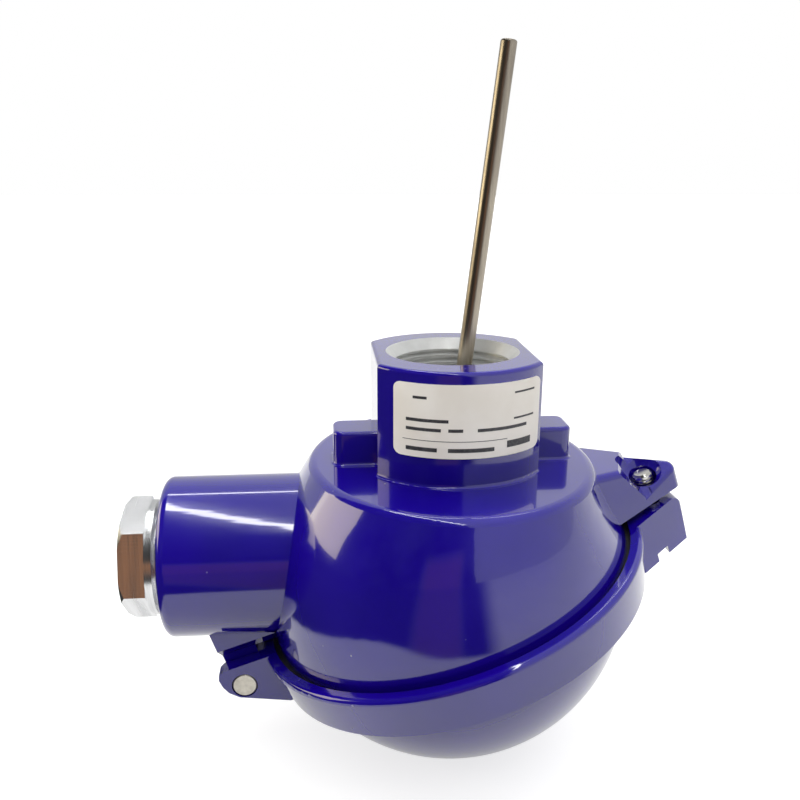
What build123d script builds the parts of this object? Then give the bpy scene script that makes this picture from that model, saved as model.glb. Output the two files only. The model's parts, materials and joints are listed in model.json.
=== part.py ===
# Resistance thermometer with connection head, standing neck up as in the photo.
# Millimetres. Origin on the neck axis at the neck end face.
# Z runs out of the neck along the probe, X runs from the cable boss to the cover clasp.
import os
from math import cos, radians, sin, sqrt

from build123d import *

os.makedirs("parts", exist_ok=True)

# Neck with its process thread
neck_radius = 18.83
neck_flat_width = 30.8
neck_corner_round = 1.2
neck_edge_round = 0.8
neck_height = 21.6
neck_foot_fillet = 0.6
thread_radius = 12.0
thread_pitch = 1.5
thread_minor_radius = 11.4
thread_turns = 9
mouth_radius = 13.0
mouth_depth = 2.1
neck_bore_radius = 10.6

# Head casting
dome_shoulder_half_x = 28.0
dome_shoulder_half_y = 33.0
dome_rim_radius = 37.7
dome_bulge_x = 1.5
dome_bulge_y = 1.6
dome_lean = -2.2
dome_wall = 3.2
shoulder_wall = 3.8
shoulder_round = 2.0
rim_x = -0.42
rim_drop = 25.78
rim_tilt = 18.64
spigot_depth = 1.0
pad_radius = 23.0
pad_height = 3.2

# Screw lugs beside the neck
lug_reach = 23.6
lug_half_width = 4.5
lug_height = 6.7
lug_round = 2.0
lug_edge_round = 0.8
insert_screw_spacing = 33.0

# Cable boss
boss_radius = 16.2
boss_drop = 20.0
boss_end_x = -57.4
boss_round = 1.8
boss_bore_radius = 9.27
boss_bore_depth = 15.0
boss_groove_radius = 10.0
boss_passage_radius = 8.0

# Cable gland
hex_across_flats = 21.4
hex_length = 5.0
hex_turn = 45.5
hex_chamfer = 0.6
collar_radius = 11.6
collar_length = 1.4
relief_radius = 9.8
relief_length = 1.1
gland_fit = 0.07
gland_screw_length = 8.9
cable_bore_radius = 5.0
seal_bore_radius = 5.4
gland_seal_length = 4.5
gland_washer_length = 1.0

# Cover, hung on the rim of the head with named clearances
rim_clearance = 1.0
rim_width = 2.5
rim_round = 1.0
casting_overlap = 3.0
band_taper = 1.7
band_step = 2.5
cover_band_height = 8.9
cover_wall = 2.8
seat_depth = 2.3
seal_overlap = 0.5
seal_thickness = 1.0

# Hinge
pin_offset = 4.8
pin_v = -4.5
pin_radius = 2.55
pin_fit = 0.06
pin_recess = 0.05
ear_half_width = 10.0
ear_width = 3.5
ear_reach = 4.4
ear_drop = 2.3
ear_inset = 0.9
knuckle_radius = 4.3
side_gap = 0.3
web_half_width = 8.5
web_overhang = 2.75
web_bottom_v = 1.6
web_bevel = 2.2
web_height = 8.4

# Clasp: a wedge on the head over a wedge on the cover, both on the screw axis
screw_offset = 4.0
arm_bottom_v = 1.7
arm_top_drop = 1.9
arm_apex_offset = 9.2
arm_taper = 0.5
arm_top_round = 1.6
arm_hole_radius = 2.8
step_offset = 1.9
step_lean = 0.55
lip_v = 7.0
lip_slope = 30.0
lip_round = 1.2
valley_width = 1.8
valley_depth = 0.5
bowl_radius = 5.2
bowl_depth = 1.9
tab_corner_half_width = 9.5
tab_apex_offset = 8.0
tab_tip_offset = 6.0
tab_tip_draft = 0.6
tab_foot_round = 2.2
tab_depth = 10.3
clasp_nose_radius = 2.0
notch_width = 2.9
notch_depth = 1.7
notch_offset = 2.8

# Cover screw
screw_radius = 2.0
screw_shank_radius = 1.5
screw_thread_length = 5.6
screw_tip_v = 6.8
screw_head_radius = 3.0
screw_head_height = 2.2
tab_hole_radius = 2.3
tab_recess_radius = 3.3
tab_recess_depth = 4.3
retainer_radius = 3.1
retainer_thickness = 1.0

# Measuring insert
flange_radius = 21.0
flange_thickness = 1.5
insert_gap = 0.3
sheath_radius = 1.5
sheath_wall = 0.35
sheath_lean = 6.4
sheath_bend_radius = 12.0
sheath_reach = 55.8
bush_radius = 3.6
bush_height = 4.0
block_radius = 14.5
block_half_width = 11.6
block_height = 12.5
block_bore_radius = 2.4
terminal_length = 20.0
terminal_width = 6.0
terminal_height = 5.0
terminal_x = 5.6
terminal_depth = 3.0
terminal_screw_y = 6.5
terminal_screw_radius = 2.0
lead_radius = 0.4
element_radius = 0.7
element_length = 15.0

# Insert screws and springs
insert_screw_radius = 2.0
insert_screw_head_radius = 3.5
insert_screw_head_height = 2.6
insert_screw_grip = 10.0
spring_length = 11.0
spring_radius = 2.95
spring_wire_radius = 0.35
spring_turns = 5

# Label on the front of the neck
label_left_x = -12.7
label_right_x = 14.66
label_top_z = -2.2
label_bottom_z = -15.9
label_thickness = 0.12
label_corner = 1.3

# Heights below the shoulder of the head
rim_z = -neck_height - rim_drop
boss_axis_z = -neck_height - boss_drop

# Radii of the cover and places of the hinge and the clasp, from the rim of the head
seat_radius = dome_rim_radius + rim_clearance
cover_rim_radius = seat_radius + rim_width
cover_band_radius = cover_rim_radius - band_taper
cover_dome_radius = cover_band_radius - band_step
seal_inner_radius = dome_rim_radius - dome_wall + seal_overlap
pin_u = -cover_rim_radius - pin_offset
web_left_u = pin_u - web_overhang
screw_u = cover_rim_radius + screw_offset
step_u = screw_u - step_offset
tab_bottom_v = -tab_depth
recess_v = tab_bottom_v + tab_recess_depth
notch_u = screw_u - notch_offset
tab_tip_u = screw_u + tab_tip_offset

# Frame of the tilted cover rim: u along X, v out of the rim towards the neck
tilt_cos = cos(radians(rim_tilt))
tilt_sin = sin(radians(rim_tilt))
rim_origin = (rim_x, 0, rim_z)
rim_along = (tilt_cos, 0, tilt_sin)
rim_plane = Plane(origin=rim_origin, x_dir=rim_along, z_dir=(-tilt_sin, 0, tilt_cos))
side_plane = Plane(origin=rim_origin, x_dir=rim_along, z_dir=(0, -1, 0))
low = (Align.CENTER, Align.CENTER, Align.MIN)
high = (Align.CENTER, Align.CENTER, Align.MAX)


def at_rim(u, y, v):
    return rim_plane.location * Pos(u, y, v)


def along_x(x, y, z):
    return Location((x, y, z), (0, 90, 0))


def wedge(root_u, corner_u, corner_half_width, apex_u, root_half_width):
    with BuildSketch() as outline:
        with BuildLine():
            Polyline(
                (root_u, root_half_width), (corner_u, corner_half_width), (apex_u, 0),
                (corner_u, -corner_half_width), (root_u, -root_half_width), (root_u, root_half_width),
            )
        make_face()
        fillet(outline.vertices().sort_by(Axis.X)[-1], clasp_nose_radius)
    return outline.sketch


def dome_section(t, inset):
    bow = 4 * t * (1 - t)
    lean = radians(rim_tilt * t)
    across = dome_shoulder_half_x + (dome_rim_radius - dome_shoulder_half_x) * t + dome_bulge_x * bow
    deep = dome_shoulder_half_y + (dome_rim_radius - dome_shoulder_half_y) * t + dome_bulge_y * bow
    centre = (rim_x * t + dome_lean * bow, 0, -neck_height + (rim_z + neck_height) * t)
    plane = Plane(origin=centre, x_dir=(cos(lean), 0, sin(lean)), z_dir=(-sin(lean), 0, cos(lean)))
    return plane, across - inset, deep - inset


pad_z = -neck_height - shoulder_wall - pad_height
hole_top_z = pad_z + insert_screw_grip
screw_x = insert_screw_spacing / 2
boss_start_x = -20.0
thread_end_z = -mouth_depth - thread_turns * thread_pitch
cavity_start = shoulder_wall / (-neck_height - rim_z)

# Hollow of the head casting
with BuildPart() as cavity:
    for step in range(5):
        t = cavity_start + (1 - cavity_start) * step / 4
        plane, across, deep = dome_section(t, dome_wall)
        with BuildSketch(plane):
            Ellipse(across, deep)
    loft()
    with Locations(at_rim(0, 0, 0)):
        Cylinder(dome_rim_radius - dome_wall, 12, align=high)

# Clasp arm: level on top, square to the tilted rim below, with a hood round the bowl for the screw's end
arm_root_u = dome_rim_radius - 3 * casting_overlap
arm_corner_u = dome_rim_radius - casting_overlap
arm_apex_u = screw_u + arm_apex_offset
arm_top_z = -neck_height - arm_top_drop
lip_location = at_rim(step_u, 0, lip_v) * Rot(X=lip_slope)
lip_plane = Plane(lip_location)
with BuildPart() as arm:
    with BuildSketch(rim_plane.offset(arm_bottom_v)):
        add(wedge(arm_root_u, arm_corner_u, arm_taper * (arm_apex_u - arm_corner_u), arm_apex_u,
                  arm_taper * (arm_apex_u - arm_root_u)))
    extrude(amount=-4 * arm_top_z)
    with Locations((0, 0, arm_top_z)):
        Box(8 * screw_u, 8 * screw_u, 8 * screw_u, align=low, mode=Mode.SUBTRACT)
    with Locations(lip_location):
        Box(screw_u, screw_u, screw_u, align=(Align.MIN, Align.CENTER, Align.MIN), mode=Mode.SUBTRACT)
    lip_face = arm.faces().filter_by(lambda face: abs((face.center() - lip_plane.origin).dot(lip_plane.z_dir)) < 0.01)
    step_end = lip_face.edges().sort_by(Axis.X)[0]
    fillet(lip_face.edges().filter_by(lambda edge: edge.center() != step_end.center()), lip_round)
    level_edges = arm.edges().filter_by_position(Axis.Z, arm_top_z - 0.01, arm_top_z + 0.01)
    fillet(level_edges.filter_by(lambda edge: abs(edge.center().Y) > 1), arm_top_round)
    with BuildSketch(Plane(lip_location * Rot(X=90))):
        with BuildLine():
            Polyline((0, 0), (-step_lean * screw_u, screw_u), (0, screw_u), (0, 0))
        make_face()
    extrude(amount=screw_u, both=True, mode=Mode.SUBTRACT)
    with Locations(lip_location * Pos(0, 0, -valley_depth)):
        Box(valley_width, screw_u, screw_u, align=(Align.MIN, Align.CENTER, Align.MIN), mode=Mode.SUBTRACT)
    with Locations(lip_location * Pos(step_offset, 0, bowl_radius - bowl_depth)):
        Sphere(bowl_radius, mode=Mode.SUBTRACT)

# Screw lugs, one bar through the neck
with BuildPart() as lugs:
    with BuildSketch(Plane.XY.offset(-neck_height - 1)):
        RectangleRounded(2 * lug_reach, 2 * lug_half_width, lug_round)
    extrude(amount=lug_height + 1)
    fillet(lugs.edges().group_by(Axis.Z)[-1], lug_edge_round)

# Web under the boss, bevelled below, and the knuckle between the cover ears
web_top_v = web_bottom_v + web_height
with BuildPart() as hinge_web:
    with BuildSketch(Plane(rim_plane.location * Pos(web_left_u, 0, 0) * Rot(Y=90))):
        with BuildLine():
            Polyline(
                (-web_bottom_v, web_half_width - web_bevel), (-web_bottom_v - web_bevel, web_half_width),
                (-web_top_v, web_half_width), (-web_top_v, -web_half_width),
                (-web_bottom_v - web_bevel, -web_half_width), (-web_bottom_v, web_bevel - web_half_width),
                (-web_bottom_v, web_half_width - web_bevel),
            )
        make_face()
    extrude(amount=-web_left_u - dome_rim_radius + casting_overlap)
    with BuildSketch(side_plane):
        with Locations((pin_u, pin_v)):
            Circle(knuckle_radius)
        with Locations((web_left_u, pin_v)):
            Rectangle(pin_u + knuckle_radius - web_left_u, web_bottom_v - pin_v + 1, align=(Align.MIN, Align.MIN))
    extrude(amount=ear_half_width - ear_width - side_gap, both=True)

with BuildPart() as head_body:
    for step in range(5):
        plane, across, deep = dome_section(step / 4, 0)
        with BuildSketch(plane):
            Ellipse(across, deep)
    loft()
    fillet(head_body.edges().group_by(Axis.Z)[-1], shoulder_round)
    with Locations(at_rim(0, 0, 0)):
        Cylinder(dome_rim_radius, spigot_depth, align=high)
    # Cable boss
    with Locations(along_x(boss_start_x, 0, boss_axis_z)):
        boss = Cylinder(boss_radius, boss_start_x - boss_end_x, align=high)
    fillet(head_body.edges().group_by(Axis.X)[0], boss_round)
    add(hinge_web)
    # Neck and lugs
    with BuildSketch(Plane.XY.offset(-neck_height - 1)):
        Circle(neck_radius)
        neck_outline = Rectangle(neck_flat_width, 3 * neck_radius, mode=Mode.INTERSECT)
        fillet(neck_outline.vertices(), neck_corner_round)
    extrude(amount=neck_height + 1)
    fillet(head_body.edges().group_by(Axis.Z)[-1], neck_edge_round)
    add(lugs)
    foot_edges = head_body.edges().filter_by_position(Axis.Z, -neck_height - 0.01, -neck_height + 0.01)
    fillet(foot_edges.filter_by(lambda edge: edge.length < 4 * neck_radius), neck_foot_fillet)
    add(arm)
    add(cavity, mode=Mode.SUBTRACT)
    # Pad for the insert flange
    with Locations((0, 0, pad_z)):
        Cylinder(pad_radius, pad_height + 0.1, align=low)
    # Neck bore with its thread
    with BuildSketch(Plane.XZ):
        with BuildLine():
            points = [(0, 1), (mouth_radius, 1), (mouth_radius, 0), (thread_minor_radius, -mouth_depth)]
            for turn in range(thread_turns):
                top = -mouth_depth - turn * thread_pitch
                points.append((thread_minor_radius, top - 0.25))
                points.append((thread_radius, top - 0.7))
                points.append((thread_radius, top - 0.8))
                points.append((thread_minor_radius, top - 1.25))
            points += [(thread_minor_radius, thread_end_z), (neck_bore_radius, thread_end_z - 0.8)]
            points += [(neck_bore_radius, pad_z - 1), (0, pad_z - 1), (0, 1)]
            Polyline(*points)
        make_face()
    revolve(axis=Axis.Z, mode=Mode.SUBTRACT)
    # Holes for the two insert screws
    with Locations((screw_x, 0, hole_top_z), (-screw_x, 0, hole_top_z)):
        Cylinder(insert_screw_radius, insert_screw_grip + 1, align=high, mode=Mode.SUBTRACT)
    # Bore of the cable boss
    with BuildSketch(Plane.XZ):
        with BuildLine():
            bore_end = boss_end_x + boss_bore_depth
            points = [(boss_end_x - 1, 0), (boss_end_x - 1, boss_groove_radius + 0.3)]
            points += [(boss_end_x, boss_groove_radius + 0.3), (boss_end_x + 0.9, boss_bore_radius)]
            for turn in range(6):
                left = boss_end_x + 1.2 + turn * thread_pitch
                points.append((left, boss_bore_radius))
                points.append((left + 0.45, boss_groove_radius))
                points.append((left + 0.55, boss_groove_radius))
                points.append((left + 1.0, boss_bore_radius))
            points += [(bore_end, boss_bore_radius), (bore_end, boss_passage_radius)]
            points += [(-26, boss_passage_radius), (-26, 0), (boss_end_x - 1, 0)]
            Polyline(*[(x, boss_axis_z + r) for x, r in points])
        make_face()
    revolve(axis=Axis((0, 0, boss_axis_z), (1, 0, 0)), mode=Mode.SUBTRACT)
    # Holes for the hinge pin and the cover screw
    with BuildSketch(side_plane):
        with Locations((pin_u, pin_v)):
            Circle(pin_radius)
    extrude(amount=ear_half_width, both=True, mode=Mode.SUBTRACT)
    with Locations(at_rim(screw_u, 0, 0)):
        Cylinder(arm_hole_radius, lip_v, align=low, mode=Mode.SUBTRACT)
head_body.part.label = "head_body"
export_step(head_body.part, "parts/head_body.step")

# Hinge pin, fixed in the knuckle
with BuildPart() as hinge_pin:
    with BuildSketch(side_plane):
        with Locations((pin_u, pin_v)):
            Circle(pin_radius)
    extrude(amount=ear_half_width - pin_recess, both=True)
    chamfer(hinge_pin.edges().filter_by(GeomType.CIRCLE), 0.3)
hinge_pin.part.label = "hinge_pin"
export_step(hinge_pin.part, "parts/hinge_pin.step")

# Cover: ring, dome, two hinge ears and the clasp tab in one casting
rim_axis = Axis(rim_origin, rim_plane.z_dir)
tab_corner_u = cover_band_radius - ear_inset
tab_root_u = cover_dome_radius - casting_overlap
ear_low_v = -cover_band_height - ear_drop
with BuildPart() as tab:
    with BuildSketch(rim_plane):
        add(wedge(tab_root_u, tab_corner_u, tab_corner_half_width, screw_u + tab_apex_offset,
                  tab_corner_half_width))
    extrude(amount=tab_bottom_v)
    with BuildSketch(side_plane):
        with BuildLine():
            Polyline((0, 0), (tab_tip_u, 0), (tab_tip_u - tab_tip_draft, tab_bottom_v), (0, tab_bottom_v), (0, 0))
        tab_side = make_face()
        fillet(tab_side.vertices().sort_by(Axis.X)[-1], tab_foot_round)
    extrude(amount=2 * tab_corner_half_width, both=True, mode=Mode.INTERSECT)

with BuildPart() as cover:
    with BuildSketch(side_plane):
        with BuildLine():
            Polyline((0, 0), (cover_rim_radius, 0), (cover_band_radius, -cover_band_height),
                     (0, -cover_band_height), (0, 0))
        band = make_face()
        fillet(band.vertices().sort_by(Axis.X)[-1], rim_round)
        fillet(band.vertices().sort_by(Axis.X)[-3], rim_round / 2)
    revolve(axis=rim_axis)
    with Locations(at_rim(0, 0, -0.2)):
        Sphere(cover_dome_radius)
    with Locations(at_rim(0, 0, -rim_round)):
        Cylinder(cover_dome_radius + 1, cover_dome_radius + 1, align=low, mode=Mode.SUBTRACT)
    for face_y in (-ear_half_width, ear_half_width - ear_width):
        with BuildSketch(side_plane.offset(-face_y - ear_width)):
            with BuildLine():
                Polyline(
                    (-seal_inner_radius, 0), (pin_u - 0.66 * ear_reach, 0),
                    (pin_u - 0.91 * ear_reach, 0.13 * pin_v), (pin_u - ear_reach, 0.36 * pin_v),
                    (pin_u - 0.95 * ear_reach, 0.76 * pin_v), (pin_u - 0.8 * ear_reach, 1.11 * pin_v),
                    (pin_u - 0.43 * ear_reach, 1.49 * pin_v), (-tab_corner_u, ear_low_v),
                    (-seal_inner_radius, ear_low_v), (-seal_inner_radius, 0),
                )
            make_face()
        extrude(amount=ear_width)
    add(tab)
    with Locations(at_rim(notch_u, 0, tab_bottom_v)):
        Box(notch_width, screw_u, notch_depth, align=(Align.MIN, Align.CENTER, Align.MIN), mode=Mode.SUBTRACT)
    with Locations(at_rim(0, 0, -0.2)):
        Sphere(cover_dome_radius - cover_wall, mode=Mode.SUBTRACT)
    with Locations(at_rim(0, 0, 1)):
        Cylinder(cover_dome_radius - cover_wall, 1 + seat_depth, align=high, mode=Mode.SUBTRACT)
        Cylinder(seat_radius, 1 + seat_depth, align=high, mode=Mode.SUBTRACT)
    with BuildSketch(side_plane):
        with Locations((pin_u, pin_v)):
            Circle(pin_radius + pin_fit)
    extrude(amount=2 * ear_half_width, both=True, mode=Mode.SUBTRACT)
    with Locations(at_rim(screw_u, 0, 1)):
        Cylinder(tab_hole_radius, 2 * tab_depth, align=high, mode=Mode.SUBTRACT)
    with Locations(at_rim(screw_u, 0, recess_v)):
        Cylinder(tab_recess_radius, tab_depth, align=high, mode=Mode.SUBTRACT)
        Cylinder(retainer_radius, retainer_thickness, align=low, mode=Mode.SUBTRACT)
cover.part.label = "cover"
export_step(cover.part, "parts/cover.step")

with BuildPart() as cover_seal:
    with Locations(at_rim(0, 0, -seat_depth)):
        Cylinder(seat_radius, seal_thickness, align=low)
        Cylinder(seal_inner_radius, seal_thickness, align=low, mode=Mode.SUBTRACT)
cover_seal.part.label = "cover_seal"
export_step(cover_seal.part, "parts/cover_seal.step")

# Washer in the tab that keeps the cover screw captive
with BuildPart() as screw_retainer:
    with Locations(at_rim(screw_u, 0, recess_v)):
        Cylinder(retainer_radius, retainer_thickness, align=low)
        Cylinder(screw_shank_radius + side_gap, retainer_thickness, align=low, mode=Mode.SUBTRACT)
screw_retainer.part.label = "screw_retainer"
export_step(screw_retainer.part, "parts/screw_retainer.step")

with BuildPart() as cover_screw:
    head_v = recess_v - side_gap
    with Locations(at_rim(screw_u, 0, head_v)):
        Cylinder(screw_head_radius, screw_head_height, align=high)
        Cylinder(screw_shank_radius, screw_tip_v - head_v, align=low)
    with Locations(at_rim(screw_u, 0, screw_tip_v)):
        Cylinder(screw_radius, screw_thread_length, align=high)
    for turn in range(7):
        with Locations(at_rim(screw_u, 0, screw_tip_v - 0.9 - 0.7 * turn)):
            Cylinder(screw_radius + 0.2, 0.3, align=high, mode=Mode.SUBTRACT)
            Cylinder(screw_radius - 0.3, 0.3, align=high)
    chamfer(cover_screw.edges().sort_by(rim_axis)[-1], 0.4)
    with Locations(at_rim(screw_u, 0, head_v - screw_head_height)):
        Box(0.9, 3 * screw_head_radius, 1.3, align=low, mode=Mode.SUBTRACT)
cover_screw.part.label = "cover_screw"
export_step(cover_screw.part, "parts/cover_screw.step")

# Cable gland: hexagon pressure screw, washer and seal
gland_radius = boss_bore_radius - gland_fit
relief_x = boss_end_x - side_gap
with BuildPart() as pressure_screw:
    with Locations(along_x(relief_x, 0, boss_axis_z)):
        Cylinder(relief_radius, relief_length, align=high)
    with Locations(along_x(relief_x - relief_length, 0, boss_axis_z)):
        Cylinder(collar_radius, collar_length, align=high)
    hex_x = relief_x - relief_length - collar_length
    hex_radius = hex_across_flats / sqrt(3)
    with BuildSketch(Plane(origin=(hex_x, 0, boss_axis_z), x_dir=(0, -1, 0), z_dir=(-1, 0, 0))):
        RegularPolygon(hex_radius, 6, rotation=hex_turn)
    extrude(amount=hex_length)
    with BuildPart(mode=Mode.INTERSECT):
        with BuildSketch(Plane.XZ):
            with BuildLine():
                outer = hex_x - hex_length
                points = [(relief_x, 0), (relief_x, relief_radius + 4), (outer + 1.2, hex_radius + 0.2)]
                points += [(outer, hex_radius - 2 * hex_chamfer), (outer, 0), (relief_x, 0)]
                Polyline(*[(x, boss_axis_z + r) for x, r in points])
            make_face()
        revolve(axis=Axis((0, 0, boss_axis_z), (1, 0, 0)))
    with Locations(along_x(relief_x, 0, boss_axis_z)):
        Cylinder(gland_radius, gland_screw_length + side_gap, align=low)
    for turn in range(4):
        with Locations(along_x(relief_x + 1.8 + thread_pitch * turn, 0, boss_axis_z)):
            with BuildPart(mode=Mode.SUBTRACT):
                Cylinder(gland_radius + 1, 0.6)
                Cylinder(gland_radius - 0.5, 0.6, mode=Mode.SUBTRACT)
    with Locations(along_x(relief_x, 0, boss_axis_z)):
        Cylinder(cable_bore_radius, 60, mode=Mode.SUBTRACT)
pressure_screw.part.label = "pressure_screw"
export_step(pressure_screw.part, "parts/pressure_screw.step")

washer_x = boss_end_x + boss_bore_depth - gland_seal_length
with BuildPart() as gland_washer:
    with Locations(along_x(washer_x, 0, boss_axis_z)):
        Cylinder(boss_bore_radius - gland_fit, gland_washer_length, align=high)
        Cylinder(seal_bore_radius, gland_washer_length, align=high, mode=Mode.SUBTRACT)
gland_washer.part.label = "gland_washer"
export_step(gland_washer.part, "parts/gland_washer.step")

with BuildPart() as gland_seal:
    with Locations(along_x(washer_x, 0, boss_axis_z)):
        Cylinder(boss_bore_radius, gland_seal_length, align=low)
        Cylinder(seal_bore_radius, gland_seal_length, align=low, mode=Mode.SUBTRACT)
gland_seal.part.label = "gland_seal"
export_step(gland_seal.part, "parts/gland_seal.step")

# Label on the neck
with BuildPart() as type_label:
    with BuildSketch(Plane.XY.offset(label_bottom_z)):
        Circle(neck_radius + label_thickness)
        Circle(neck_radius, mode=Mode.SUBTRACT)
    extrude(amount=label_top_z - label_bottom_z)
    with BuildSketch(Plane.XZ) as label_outline:
        with Locations(((label_left_x + label_right_x) / 2, (label_top_z + label_bottom_z) / 2)):
            RectangleRounded(label_right_x - label_left_x, label_top_z - label_bottom_z, label_corner)
    extrude(amount=3 * neck_radius, mode=Mode.INTERSECT)
type_label.part.label = "type_label"
export_step(type_label.part, "parts/type_label.step")

# Measuring insert
flange_top_z = pad_z - insert_gap
flange_low_z = flange_top_z - flange_thickness
block_low_z = flange_low_z - block_height
with BuildPart() as insert_flange:
    with Locations((0, 0, flange_top_z)):
        Cylinder(flange_radius, flange_thickness, align=high)
        Cylinder(sheath_radius, flange_thickness, align=high, mode=Mode.SUBTRACT)
    with Locations((screw_x, 0, flange_top_z), (-screw_x, 0, flange_top_z)):
        Cylinder(insert_screw_radius + side_gap, flange_thickness, align=high, mode=Mode.SUBTRACT)
insert_flange.part.label = "insert_flange"
export_step(insert_flange.part, "parts/insert_flange.step")

with BuildPart() as sheath_bush:
    with Locations((0, 0, flange_top_z)):
        Cylinder(bush_radius, bush_height, align=low)
        Cylinder(sheath_radius, bush_height, align=low, mode=Mode.SUBTRACT)
    chamfer(sheath_bush.edges().group_by(Axis.Z)[-1], 0.4)
sheath_bush.part.label = "sheath_bush"
export_step(sheath_bush.part, "parts/sheath_bush.step")

# Line of the sheath: straight through the flange, a gentle bend, then straight to the tip
bend_z = flange_top_z + bush_height
lean = radians(sheath_lean)
bend_end = (sheath_bend_radius * (1 - cos(lean)), 0, bend_z + sheath_bend_radius * sin(lean))
tip_run = (sheath_reach - bend_end[2]) / cos(lean)
tip = (bend_end[0] + tip_run * sin(lean), 0, sheath_reach)
element_start = 1 - (element_length + 2) / tip_run


def sheath_line(stop):
    run = tip_run * stop
    end = (bend_end[0] + run * sin(lean), 0, bend_end[2] + run * cos(lean))
    foot = Line((0, 0, flange_low_z), (0, 0, bend_z))
    bend = TangentArc((0, 0, bend_z), bend_end, tangent=(0, 0, 1))
    Line(bend @ 1, end)
    return foot


with BuildPart() as probe_sheath:
    with BuildLine():
        sheath_line(1)
    with BuildSketch(Plane.XY.offset(flange_low_z)):
        Circle(sheath_radius)
    sweep()
    fillet(probe_sheath.edges().group_by(Axis.Z)[-1], sheath_radius * 0.3)
    with BuildPart(mode=Mode.SUBTRACT):
        with BuildLine():
            sheath_line(1 - 1.5 / tip_run)
        with BuildSketch(Plane.XY.offset(flange_low_z)):
            Circle(sheath_radius - sheath_wall)
        sweep()
probe_sheath.part.label = "probe_sheath"
export_step(probe_sheath.part, "parts/probe_sheath.step")

with BuildPart() as insulation_core:
    with BuildLine():
        sheath_line(element_start)
    with BuildSketch(Plane.XY.offset(flange_low_z)):
        Circle(sheath_radius - sheath_wall)
    sweep()
insulation_core.part.label = "insulation_core"
export_step(insulation_core.part, "parts/insulation_core.step")

element_run = tip_run * element_start
element_foot = (bend_end[0] + element_run * sin(lean), 0, bend_end[2] + element_run * cos(lean))
with BuildPart() as sensor_element:
    with Locations(Location(element_foot, (0, sheath_lean, 0))):
        Cylinder(element_radius, element_length, align=low)
sensor_element.part.label = "sensor_element"
export_step(sensor_element.part, "parts/sensor_element.step")

with BuildPart() as terminal_block:
    with BuildSketch(Plane.XY.offset(block_low_z)):
        Circle(block_radius)
        Rectangle(2 * block_half_width, 3 * block_radius, mode=Mode.INTERSECT)
        Circle(block_bore_radius, mode=Mode.SUBTRACT)
    extrude(amount=block_height)
    for side in (-1, 1):
        with Locations((side * terminal_x, 0, block_low_z)):
            Box(terminal_width, terminal_length, terminal_depth, align=low, mode=Mode.SUBTRACT)
    with Locations((0, 0, block_low_z)):
        Box(2 * terminal_x, 2 * block_bore_radius, terminal_depth, align=low, mode=Mode.SUBTRACT)
terminal_block.part.label = "terminal_block"
export_step(terminal_block.part, "parts/terminal_block.step")

terminal_top_z = block_low_z + terminal_depth
terminal_low_z = terminal_top_z - terminal_height
lead_z = terminal_top_z - terminal_height / 2
for side, name in ((-1, "left"), (1, "right")):
    inner_x = side * (terminal_x - terminal_width / 2)
    with BuildPart() as terminal:
        with Locations((side * terminal_x, 0, terminal_top_z)):
            Box(terminal_width, terminal_length, terminal_height, align=high)
        chamfer(terminal.edges().group_by(Axis.Z)[0], 0.3)
        for y in (-terminal_screw_y, terminal_screw_y):
            with Locations((side * terminal_x, y, terminal_low_z)):
                Cylinder(terminal_screw_radius, terminal_height - 1, align=low, mode=Mode.SUBTRACT)
            with Locations(along_x(side * terminal_x, y, lead_z)):
                Cylinder(terminal_height / 5, 2 * terminal_width, mode=Mode.SUBTRACT)
        with Locations(along_x(side * terminal_x, 0, lead_z)):
            Cylinder(lead_radius, 2 * terminal_width, mode=Mode.SUBTRACT)
    terminal.part.label = "terminal_" + name
    export_step(terminal.part, "parts/terminal_" + name + ".step")
    with BuildPart() as lead_wire:
        with BuildLine():
            drop = Line((side * 0.6, 0, flange_low_z), (side * 0.6, 0, lead_z + 1.0))
            bend = TangentArc(drop @ 1, (side * 1.6, 0, lead_z), tangent=(0, 0, -1))
            Line(bend @ 1, (inner_x + side * 3, 0, lead_z))
        with BuildSketch(Plane(origin=(side * 0.6, 0, flange_low_z), z_dir=(0, 0, -1))):
            Circle(lead_radius)
        sweep()
    lead_wire.part.label = "lead_wire_" + name
    export_step(lead_wire.part, "parts/lead_wire_" + name + ".step")
    for y, end in ((-terminal_screw_y, "front"), (terminal_screw_y, "back")):
        with BuildPart() as terminal_screw:
            with Locations((side * terminal_x, y, terminal_low_z + terminal_height - 3.4)):
                Cylinder(terminal_screw_radius, 3.4, align=high)
            with Locations((side * terminal_x, y, terminal_low_z - 1.0)):
                Cylinder(terminal_screw_radius + 0.5, 1.0, align=low)
                Box(0.7, 4 * terminal_screw_radius, 0.7, align=low, mode=Mode.SUBTRACT)
        name_here = "terminal_screw_" + name + "_" + end
        terminal_screw.part.label = name_here
        export_step(terminal_screw.part, "parts/" + name_here + ".step")

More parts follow.
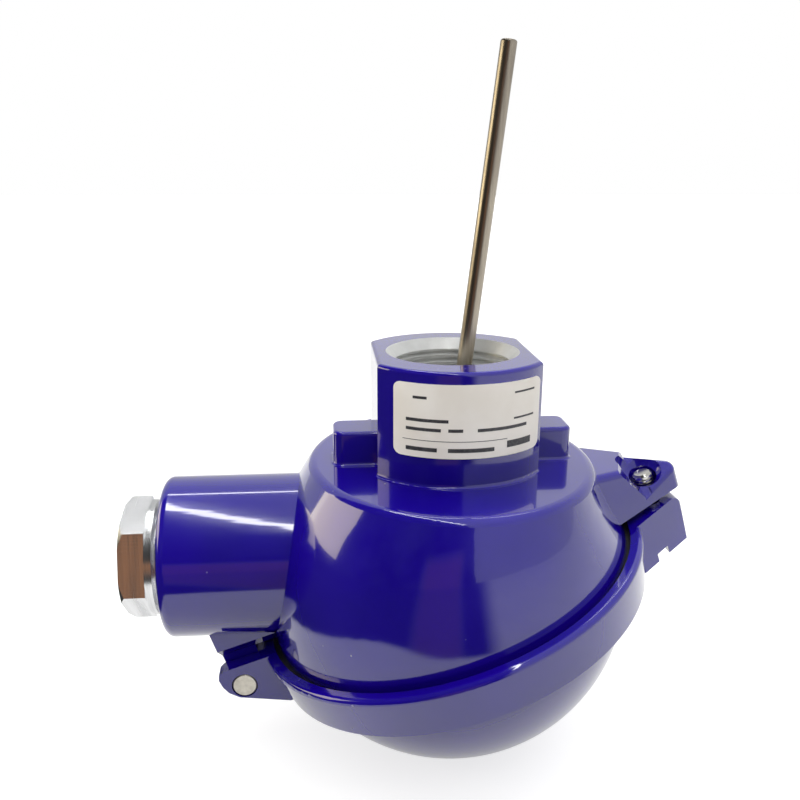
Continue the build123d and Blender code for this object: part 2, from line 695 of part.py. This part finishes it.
# Insert screws with their springs
for side, name in ((-1, "left"), (1, "right")):
    with BuildPart() as insert_screw:
        with Locations((side * screw_x, 0, flange_low_z - spring_length)):
            Cylinder(insert_screw_radius, hole_top_z - 0.5 - flange_low_z + spring_length, align=low)
            Cylinder(insert_screw_head_radius, insert_screw_head_height, align=high)
        with Locations((side * screw_x, 0, flange_low_z - spring_length - insert_screw_head_height)):
            Box(3 * insert_screw_head_radius, 0.9, 1.2, align=low, mode=Mode.SUBTRACT)
    insert_screw.part.label = "insert_screw_" + name
    export_step(insert_screw.part, "parts/insert_screw_" + name + ".step")
    with BuildPart() as insert_spring:
        rise = spring_length - 2 * spring_wire_radius - 0.1
        start = (side * screw_x, 0, flange_low_z - spring_length + spring_wire_radius + 0.05)
        with BuildLine(Plane(origin=start)):
            coil = Helix(rise / spring_turns, rise, spring_radius)
        with BuildSketch(Plane(origin=coil @ 0, z_dir=coil % 0)):
            Circle(spring_wire_radius)
        sweep(is_frenet=True)
    insert_spring.part.label = "insert_spring_" + name
    export_step(insert_spring.part, "parts/insert_spring_" + name + ".step")
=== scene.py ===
import json
from math import cos, radians, sin

import bmesh
import bpy
from mathutils import Matrix, Vector


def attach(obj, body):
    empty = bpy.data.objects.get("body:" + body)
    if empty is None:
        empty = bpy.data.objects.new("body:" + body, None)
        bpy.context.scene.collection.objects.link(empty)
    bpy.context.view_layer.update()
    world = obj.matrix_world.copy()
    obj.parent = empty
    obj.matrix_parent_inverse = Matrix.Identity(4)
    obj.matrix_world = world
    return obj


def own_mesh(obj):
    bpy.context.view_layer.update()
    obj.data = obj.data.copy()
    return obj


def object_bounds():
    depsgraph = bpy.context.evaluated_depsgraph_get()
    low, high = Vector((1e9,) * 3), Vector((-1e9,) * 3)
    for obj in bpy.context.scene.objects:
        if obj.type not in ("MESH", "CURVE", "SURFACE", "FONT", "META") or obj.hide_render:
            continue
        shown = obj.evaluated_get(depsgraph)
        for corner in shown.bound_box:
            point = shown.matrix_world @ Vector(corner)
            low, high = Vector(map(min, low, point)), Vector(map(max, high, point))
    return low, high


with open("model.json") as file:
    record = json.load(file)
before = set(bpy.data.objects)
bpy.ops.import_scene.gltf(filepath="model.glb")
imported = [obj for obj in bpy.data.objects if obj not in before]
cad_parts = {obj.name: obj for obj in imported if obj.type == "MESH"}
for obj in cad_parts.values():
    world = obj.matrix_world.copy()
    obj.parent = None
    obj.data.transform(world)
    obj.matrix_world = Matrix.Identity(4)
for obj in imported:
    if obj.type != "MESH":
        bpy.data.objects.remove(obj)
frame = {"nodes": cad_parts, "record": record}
cad_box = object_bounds()
nodes = frame["nodes"]
MM = 0.001

# Places on the part, as its source has them
NECK_RADIUS = 18.83 * MM
LABEL_THICKNESS = 0.12 * MM
GLAND_AXIS_Z = -41.6 * MM
NECK_FOOT_Z = -20.5 * MM
MACHINED_NECK_RADIUS = 13.02 * MM
MACHINED_NECK_END_Z = -28.8 * MM
MACHINED_BOSS_RADIUS = 10.35 * MM
MACHINED_BOSS_END_X = -41.0 * MM


# Camera at the photo's angle
camera_data = bpy.data.cameras.new("camera")
camera_data.sensor_width = 36
camera_data.lens = 38.90
camera_data.shift_y = 0.0375
camera_data.clip_start = 0.01
camera = bpy.data.objects.new("camera", camera_data)
bpy.context.scene.collection.objects.link(camera)
right = Vector((0.9960149, -0.0891561, 0.0023482))
up = Vector((0.0243227, 0.2968657, 0.9546094))
back = -Vector((0.0858063, 0.9507481, -0.2978512))
place = Matrix((right, up, back)).transposed().to_4x4()
place.translation = Vector((-0.0250228, -0.1639343, 0.0353399))
camera.matrix_world = place
bpy.context.scene.camera = camera
bpy.context.scene.view_settings.view_transform = "Standard"


# Small helpers for node materials
class Shader:
    def __init__(self, name):
        self.material = bpy.data.materials.new(name)
        self.material.use_nodes = True
        self.tree = self.material.node_tree
        self.bsdf = self.tree.nodes["Principled BSDF"]
        self.coord = self.tree.nodes.new("ShaderNodeTexCoord").outputs["Object"]

    def put(self, socket, value):
        if isinstance(value, bpy.types.NodeSocket):
            self.tree.links.new(value, socket)
        elif isinstance(value, tuple) and len(value) == 3 and len(socket.default_value) == 4:
            socket.default_value = (*value, 1)
        else:
            socket.default_value = value

    def set(self, **values):
        for name, value in values.items():
            self.put(self.bsdf.inputs[name.replace("_", " ")], value)

    def math(self, kind, a, b=0.0, c=0.0):
        n = self.tree.nodes.new("ShaderNodeMath")
        n.operation = kind
        for socket, value in zip(n.inputs, (a, b, c)):
            self.put(socket, value)
        return n.outputs[0]

    def split(self, vector=None):
        n = self.tree.nodes.new("ShaderNodeSeparateXYZ")
        self.put(n.inputs[0], vector or self.coord)
        return n.outputs

    def scaled(self, x, y, z, vector=None):
        n = self.tree.nodes.new("ShaderNodeMapping")
        self.put(n.inputs["Vector"], vector or self.coord)
        n.inputs["Scale"].default_value = (x, y, z)
        return n.outputs[0]

    def noise(self, scale, detail=2.0, roughness=0.5, vector=None):
        n = self.tree.nodes.new("ShaderNodeTexNoise")
        self.put(n.inputs["Vector"], vector or self.coord)
        n.inputs["Scale"].default_value = scale
        n.inputs["Detail"].default_value = detail
        n.inputs["Roughness"].default_value = roughness
        return n.outputs[0]

    def spots(self, scale, vector=None):
        n = self.tree.nodes.new("ShaderNodeTexVoronoi")
        self.put(n.inputs["Vector"], vector or self.coord)
        n.inputs["Scale"].default_value = scale
        return n.outputs

    def ramp(self, value, low, high, a=0.0, b=1.0, smooth=True):
        n = self.tree.nodes.new("ShaderNodeMapRange")
        n.interpolation_type = "SMOOTHSTEP" if smooth else "LINEAR"
        for socket, item in zip(n.inputs, (value, low, high, a, b)):
            self.put(socket, item)
        return n.outputs[0]

    def mix(self, factor, a, b):
        n = self.tree.nodes.new("ShaderNodeMix")
        n.data_type = "RGBA"
        self.put(n.inputs[0], factor)
        self.put(n.inputs[6], a)
        self.put(n.inputs[7], b)
        return n.outputs[2]

    def bump(self, height, distance, strength=1.0, normal=None):
        n = self.tree.nodes.new("ShaderNodeBump")
        n.inputs["Strength"].default_value = strength
        n.inputs["Distance"].default_value = distance
        self.put(n.inputs["Height"], height)
        if normal:
            self.put(n.inputs["Normal"], normal)
        return n.outputs[0]

    def times(self, *values):
        total = values[0]
        for value in values[1:]:
            total = self.math("MULTIPLY", total, value)
        return total

    def distance(self, a, b):
        return self.math("SQRT", self.math("ADD", self.times(a, a), self.times(b, b)))


def paint(name, bare):
    """Glossy ultramarine enamel with fine orange peel, dust specks and, where machined, bare metal."""
    s = Shader(name)
    cloud = s.noise(35, 3)
    blue = s.mix(s.ramp(cloud, 0.35, 0.65), (0.0060, 0.0004, 0.195), (0.0090, 0.0007, 0.245))
    cell = s.spots(420)
    pick = s.split(cell["Color"])
    speck = s.times(s.ramp(cell["Distance"], 0.05, 0.11, 1, 0), s.math("GREATER_THAN", pick[0], 0.90))
    patch = s.ramp(s.noise(28, 2), 0.5, 0.62)
    if bare is not None:
        px, py, pz = s.split()
        foot = s.ramp(s.math("ABSOLUTE", s.math("SUBTRACT", pz, NECK_FOOT_Z)), 0.0006, 0.0026, 1, 0)
        near = s.ramp(s.distance(px, py), 0.024, 0.021)
        patch = s.math("MAXIMUM", patch, s.math("MULTIPLY", foot, near))
    speck = s.math("MULTIPLY", speck, patch)
    color = s.mix(s.math("MULTIPLY", speck, 0.75), blue, (0.45, 0.45, 0.55))
    rough = s.math("ADD", s.ramp(s.noise(60, 4), 0.3, 0.8, 0.10, 0.2), s.math("MULTIPLY", speck, 0.4))
    peel = s.bump(s.noise(260, 1), 0.00005, 0.25)
    fine = s.bump(speck, 0.00003, 0.6, peel)
    s.bsdf.inputs["Coat Roughness"].default_value = 0.03
    s.bsdf.inputs["Coat IOR"].default_value = 1.58
    s.bsdf.inputs["IOR"].default_value = 1.5
    if bare is None:
        s.set(Base_Color=color, Roughness=rough, Normal=fine)
        s.bsdf.inputs["Coat Weight"].default_value = 1.0
        return s.material
    mask = bare(s)
    grain = s.noise(900, 2)
    metal = s.mix(s.ramp(s.noise(160, 3), 0.3, 0.7), (0.72, 0.73, 0.72), (0.86, 0.87, 0.86))
    s.set(
        Base_Color=s.mix(mask, color, metal),
        Metallic=s.math("MULTIPLY", mask, 0.75),
        Roughness=s.math("ADD", s.math("MULTIPLY", rough, s.math("SUBTRACT", 1.0, mask)),
                         s.math("MULTIPLY", s.ramp(grain, 0.3, 0.7, 0.30, 0.42), mask)),
    )
    turned = s.bump(s.math("SINE", s.math("MULTIPLY", s.split()[2], 42000.0)), 0.00001, 0.4)
    normal = s.tree.nodes.new("ShaderNodeMix")
    normal.data_type = "VECTOR"
    s.put(normal.inputs[0], mask)
    s.put(normal.inputs[4], fine)
    s.put(normal.inputs[5], turned)
    s.put(s.bsdf.inputs["Normal"], normal.outputs[1])
    s.put(s.bsdf.inputs["Coat Weight"], s.math("SUBTRACT", 1.0, mask))
    return s.material


def head_bare(s):
    """Machined surfaces of the head: the neck's mouth and thread, and the thread for the gland."""
    x, y, z = s.split()
    from_neck = s.distance(x, y)
    neck = s.times(s.math("LESS_THAN", from_neck, MACHINED_NECK_RADIUS),
                   s.math("GREATER_THAN", z, MACHINED_NECK_END_Z))
    from_boss = s.distance(y, s.math("SUBTRACT", z, GLAND_AXIS_Z))
    boss = s.times(s.math("LESS_THAN", from_boss, MACHINED_BOSS_RADIUS),
                   s.math("LESS_THAN", x, MACHINED_BOSS_END_X))
    return s.math("MINIMUM", s.math("ADD", neck, boss), 1.0)


def steel(name, light, dark, low, high, streak=(1, 1, 1), scale=600, bump=0.00002):
    """Satin metal whose fine streaks run along the stretched axis."""
    s = Shader(name)
    lines = s.noise(scale, 3, 0.6, s.scaled(*streak))
    broad = s.noise(90, 3)
    value = s.math("ADD", s.math("MULTIPLY", lines, 0.6), s.math("MULTIPLY", broad, 0.4))
    s.set(
        Base_Color=s.mix(s.ramp(value, 0.32, 0.68), dark, light),
        Roughness=s.ramp(value, 0.3, 0.7, high, low),
        Normal=s.bump(lines, bump, 0.5),
    )
    s.bsdf.inputs["Metallic"].default_value = 1.0
    return s.material


def plain(name, a, b, rough, scale=250, bump=0.00003):
    """Non-metal with slight mottling."""
    s = Shader(name)
    cloud = s.noise(scale, 4, 0.6)
    s.set(
        Base_Color=s.mix(s.ramp(cloud, 0.3, 0.7), a, b),
        Roughness=s.ramp(cloud, 0.3, 0.7, rough - 0.06, rough + 0.06),
        Normal=s.bump(cloud, bump, 0.4),
    )
    return s.material


def turned_aluminium(name):
    """Bright machined aluminium, with rings about the gland axis and straight cutter lines."""
    s = Shader(name)
    x, y, z = s.split()
    radius = s.distance(y, s.math("SUBTRACT", z, GLAND_AXIS_Z))
    rings = s.math("SINE", s.math("MULTIPLY", radius, 26000.0))
    cuts = s.noise(900, 3, 0.6, s.scaled(1.0, 0.03, 0.03))
    height = s.math("ADD", s.math("MULTIPLY", rings, 0.25), cuts)
    s.set(
        Base_Color=s.mix(s.ramp(cuts, 0.3, 0.7), (0.66, 0.67, 0.68), (0.86, 0.87, 0.88)),
        Roughness=s.ramp(cuts, 0.3, 0.7, 0.30, 0.18),
        Normal=s.bump(height, 0.00002, 0.5),
    )
    s.bsdf.inputs["Metallic"].default_value = 1.0
    return s.material


def label_film(name):
    s = Shader(name)
    film = s.noise(1400, 3, 0.7, s.scaled(1, 1, 0.3))
    cloud = s.noise(120, 3)
    s.set(
        Base_Color=s.mix(s.ramp(cloud, 0.3, 0.7), (0.84, 0.79, 0.71), (0.90, 0.86, 0.79)),
        Roughness=s.ramp(film, 0.3, 0.7, 0.42, 0.34),
        Normal=s.bump(film, 0.00001, 0.5),
    )
    return s.material


LOOKS = {
    "head_paint": None,
    "pin_steel": steel("pin_steel", (0.66, 0.63, 0.55), (0.50, 0.47, 0.41), 0.28, 0.42, scale=900),
    "gland_aluminium": turned_aluminium("gland_aluminium"),
    "screw_steel": steel("screw_steel", (0.80, 0.79, 0.74), (0.66, 0.65, 0.61), 0.18, 0.30,
                         scale=500, bump=0.000006),
    "seal_rubber": plain("seal_rubber", (0.012, 0.012, 0.013), (0.028, 0.028, 0.030), 0.62),
    "retainer_plastic": plain("retainer_plastic", (0.06, 0.06, 0.065), (0.09, 0.09, 0.095), 0.5),
    "label_foil": label_film("label_foil"),
    "sheath_steel": steel("sheath_steel", (0.46, 0.41, 0.33), (0.34, 0.30, 0.25), 0.26, 0.38,
                          (1, 1, 0.02), 1500),
    "flange_steel": steel("flange_steel", (0.64, 0.63, 0.61), (0.5, 0.49, 0.47), 0.25, 0.4),
    "core_powder": plain("core_powder", (0.72, 0.70, 0.65), (0.84, 0.82, 0.78), 0.8),
    "block_ceramic": plain("block_ceramic", (0.70, 0.67, 0.60), (0.80, 0.77, 0.70), 0.32),
    "terminal_brass": steel("terminal_brass", (0.80, 0.60, 0.27), (0.62, 0.44, 0.18), 0.22, 0.36),
    "lead_metal": steel("lead_metal", (0.74, 0.73, 0.70), (0.55, 0.54, 0.52), 0.2, 0.34),
}
slot_of = {part["node"]: part["material_slot"] for part in frame["record"]["subparts"]}
head_paint = paint("head_paint", head_bare)
cover_paint = paint("cover_paint", None)
for name, obj in nodes.items():
    look = LOOKS[slot_of[name]]
    if name == "head_body":
        look = head_paint
    if name == "cover":
        look = cover_paint
    obj.data.materials.clear()
    obj.data.materials.append(look)


# Printed marks on the label: a rule and plain bars, no lettering
def curved_bar(mesh, azimuth_a, azimuth_b, z_low, z_high, radius):
    steps = max(2, int(abs(azimuth_b - azimuth_a) / 2.5))
    rows = []
    for i in range(steps + 1):
        a = radians(azimuth_a + (azimuth_b - azimuth_a) * i / steps)
        rows.append([mesh.verts.new((radius * cos(a), radius * sin(a), z)) for z in (z_low, z_high)])
    for one, two in zip(rows, rows[1:]):
        mesh.faces.new((one[0], two[0], two[1], one[1]))


def label_print():
    mesh = bmesh.new()
    radius = NECK_RADIUS + LABEL_THICKNESS + 0.02 * MM
    curved_bar(mesh, -126, -66, -12.72 * MM, -12.60 * MM, radius)
    bars = [(-124, -106, -14.7, 0.75), (-100, -74, -14.7, 0.75), (-66, -48, -14.4, 1.3)]
    bars += [(-124, -104, -10.9, 0.6), (-100, -92, -10.9, 0.6), (-84, -52, -10.9, 0.6)]
    bars += [(-124, -100, -9.2, 0.6), (-62, -46, -9.2, 0.35)]
    bars += [(-120, -112, -5.0, 0.5), (-62, -46, -4.4, 0.35)]
    for a, b, z, tall in bars:
        curved_bar(mesh, a, b, z * MM, (z + tall) * MM, radius)
    data = bpy.data.meshes.new("label_print")
    mesh.to_mesh(data)
    mesh.free()
    obj = bpy.data.objects.new("label_print", data)
    bpy.context.scene.collection.objects.link(obj)
    s = Shader("label_ink")
    worn = s.noise(1800, 3)
    s.set(Base_Color=s.mix(s.ramp(worn, 0.35, 0.8), (0.035, 0.035, 0.04), (0.09, 0.09, 0.09)),
          Roughness=s.ramp(worn, 0.3, 0.7, 0.4, 0.55), Normal=s.bump(worn, 0.00001, 0.3))
    data.materials.append(s.material)
    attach(obj, "head")


label_print()


# Each spring sits between its screw's head and the flange, which moves towards that head; here each spring
# only gets its own copy of its mesh
for side in ("left", "right"):
    spring = nodes["insert_spring_" + side]
    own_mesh(spring)


# Floor, world and lamps
BROWN = (1.0, 0.48, 0.26)


class Light(Shader):
    """The same node helpers on the floor's material or on the world."""
    def __init__(self, tree, coord):
        self.tree = tree
        self.coord = coord

    def seen(self, *rays):
        path = self.tree.nodes.new("ShaderNodeLightPath")
        total = path.outputs[rays[0]]
        for ray in rays[1:]:
            total = self.math("MAXIMUM", total, path.outputs[ray])
        return total

    def either(self, factor, a, b):
        n = self.tree.nodes.new("ShaderNodeMix")
        n.data_type = "FLOAT"
        self.put(n.inputs[0], factor)
        self.put(n.inputs[2], a)
        self.put(n.inputs[3], b)
        return n.outputs[0]

    def dark_side(self, x, y):
        """1 in front and to the left of the object, where the dark end of the room is."""
        turn = self.math("ARCTAN2", x, self.math("MULTIPLY", y, -1.0))
        return self.times(self.ramp(turn, -2.40, -2.30), self.ramp(turn, 0.20, 0.42, 1, 0))

    def brown_part(self, x, y):
        """1 straight in front, where a warm brown thing stands in the dark end of the room."""
        turn = self.math("ARCTAN2", x, self.math("MULTIPLY", y, -1.0))
        return self.times(self.ramp(turn, -0.50, -0.36), self.ramp(turn, -0.02, 0.08, 1, 0))


def pale_floor():
    mesh = bmesh.new()
    bmesh.ops.create_grid(mesh, x_segments=1, y_segments=1, size=3.0)
    data = bpy.data.meshes.new("floor")
    mesh.to_mesh(data)
    mesh.free()
    obj = bpy.data.objects.new("floor", data)
    obj.location = (0, 0, cad_box[0][2] - 0.0003)
    bpy.context.scene.collection.objects.link(obj)
    s = Shader("floor")
    light = Light(s.tree, s.coord)
    x, y, z = light.split()
    across = light.math("POWER", light.math("DIVIDE", light.math("ABSOLUTE", x), 0.098), 4.0)
    ahead = light.math("POWER", light.math("DIVIDE", light.math("ABSOLUTE", y), 0.096), 4.0)
    far = light.ramp(light.math("ADD", across, ahead), 0.80, 1.25)
    dark = light.math("MULTIPLY", far, light.dark_side(x, y))
    brown = light.times(dark, light.brown_part(x, y))
    mirrored = light.seen("Is Glossy Ray", "Is Transmission Ray")
    shown = light.either(dark, 0.36, light.math("MULTIPLY", brown, 0.18))
    glow = light.either(light.seen("Is Camera Ray"), light.math("MULTIPLY", mirrored, shown), 0.72)
    cloud = light.ramp(light.noise(9, 3), 0.3, 0.7, 0.38, 0.42)
    pale = s.tree.nodes.new("ShaderNodeCombineColor")
    for socket in pale.inputs:
        s.put(socket, cloud)
    s.set(Base_Color=light.mix(light.times(dark, mirrored), pale.outputs[0], (0.02, 0.02, 0.02)),
          Roughness=0.9, Emission_Color=light.mix(brown, (1, 1, 1), BROWN), Emission_Strength=glow)
    s.bsdf.inputs["Specular IOR Level"].default_value = 0.0
    data.materials.append(s.material)


pale_floor()

world = bpy.data.worlds.new("world")
bpy.context.scene.world = world
world.use_nodes = True
background = world.node_tree.nodes["Background"]
background.inputs["Color"].default_value = (1, 1, 1, 1)
light = Light(world.node_tree, world.node_tree.nodes.new("ShaderNodeTexCoord").outputs["Generated"])
x, y, z = light.split()
wave = light.ramp(light.noise(16, 2), 0.3, 0.7, -0.010, 0.010, smooth=False)
slant = light.math("ADD", light.math("MULTIPLY", x, 0.968), light.math("MULTIPLY", y, 0.189))
edge = light.math("ADD", light.math("ADD", slant, light.math("MULTIPLY", z, 0.156)), wave)
behind = light.ramp(y, 0.49, 0.51)
dark = light.times(light.ramp(edge, -0.008, 0.008, 1, 0), light.math("SUBTRACT", 1.0, behind))
roof = light.times(light.ramp(z, 0.48, 0.54), light.math("SUBTRACT", 1.0, behind))
brown = light.times(dark, light.brown_part(x, y), light.ramp(z, 0.16, 0.26, 1, 0))
front_tube = light.times(light.ramp(light.math("ABSOLUTE", edge), 0.009, 0.021, 1, 0),
                         light.math("SUBTRACT", 1.0, behind))
back_wall = light.math("ABSOLUTE", light.math("SUBTRACT", y, 0.50))
back_tube = light.times(light.ramp(back_wall, 0.006, 0.018, 1, 0), light.ramp(x, -0.21, -0.18), 0.8)
tubes = light.times(light.math("MAXIMUM", front_tube, back_tube), light.ramp(z, 0.72, 0.80))
cloud = light.ramp(light.noise(2.5, 4, 0.6), 0.35, 0.7, 0.0, 0.06)
bright = light.math("SUBTRACT", light.ramp(x, -0.30, 0.05, 0.52, 0.68), light.math("MULTIPLY", roof, 0.08))
level = light.either(dark, bright, light.math("ADD", 0.015, light.math("MULTIPLY", brown, 0.28)))
level = light.math("ADD", level, light.math("ADD", cloud, light.times(tubes, 14.0)))
level = light.either(light.seen("Is Diffuse Ray"), level, light.ramp(z, 0.15, 0.9, 0.12, 2.0))
light.put(background.inputs["Strength"], light.either(light.seen("Is Camera Ray"), level, 1.0))
warm = light.times(brown, light.seen("Is Glossy Ray"))
light.put(background.inputs["Color"], light.mix(warm, (1, 1, 1), BROWN))


def lamp(name, place, target, width, height, power, color=(1, 1, 1), mirrored=True):
    data = bpy.data.lights.new(name, "AREA")
    data.shape = "RECTANGLE"
    data.size = width
    data.size_y = height
    data.energy = power
    data.color = color
    obj = bpy.data.objects.new(name, data)
    obj.location = place
    obj.rotation_euler = (Vector(target) - Vector(place)).to_track_quat("-Z", "Y").to_euler()
    obj.visible_glossy = mirrored
    obj.visible_camera = False
    bpy.context.scene.collection.objects.link(obj)


centre = (-0.02, -0.02, -0.03)
lamp("window", (-0.58, 0.15, 0.13), centre, 0.40, 0.25, 1.0, (1.0, 0.86, 0.58))
lamp("key", (0.20, -0.02, 0.62), centre, 0.35, 0.35, 1.0, mirrored=False)
